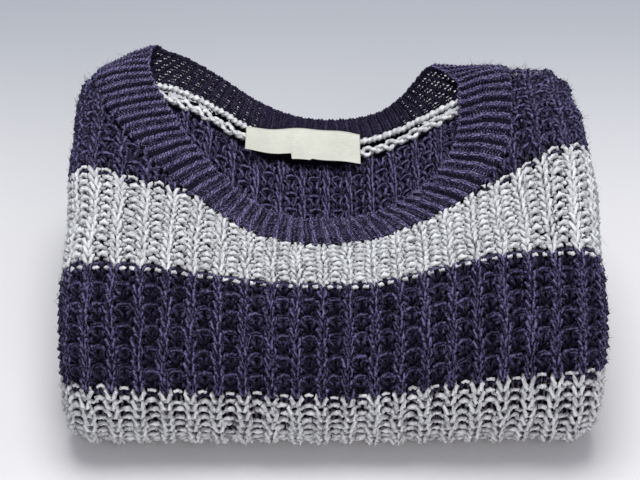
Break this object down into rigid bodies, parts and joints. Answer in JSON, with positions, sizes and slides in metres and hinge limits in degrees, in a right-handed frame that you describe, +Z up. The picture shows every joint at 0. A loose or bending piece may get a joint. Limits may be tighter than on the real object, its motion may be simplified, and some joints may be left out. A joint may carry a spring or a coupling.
{
  "type": "folded striped sweater",
  "caption": "Chunky navy and grey striped crew-neck sweater, folded in three and lying on a table, with a blank neck label.",
  "frame": {"origin": "on the table under the middle of the pile's bounding box", "axes": "+Z up, +X along the front roll to the viewer's right, -Y towards the viewer, where the front roll is"},
  "size_m": [0.3244, 0.2608, 0.1576],
  "materials": {
    "navy_knit": "matte",
    "grey_knit": "matte",
    "cream_label": "matte"
  },
  "bodies": {
    "root": {"front_panel": "grey_knit", "back_panel": "navy_knit", "neckband": "navy_knit", "sleeve_left": "grey_knit", "sleeve_right": "grey_knit", "folded_layers": "navy_knit", "neck_label": "cream_label"}
  },
  "joints": []
}
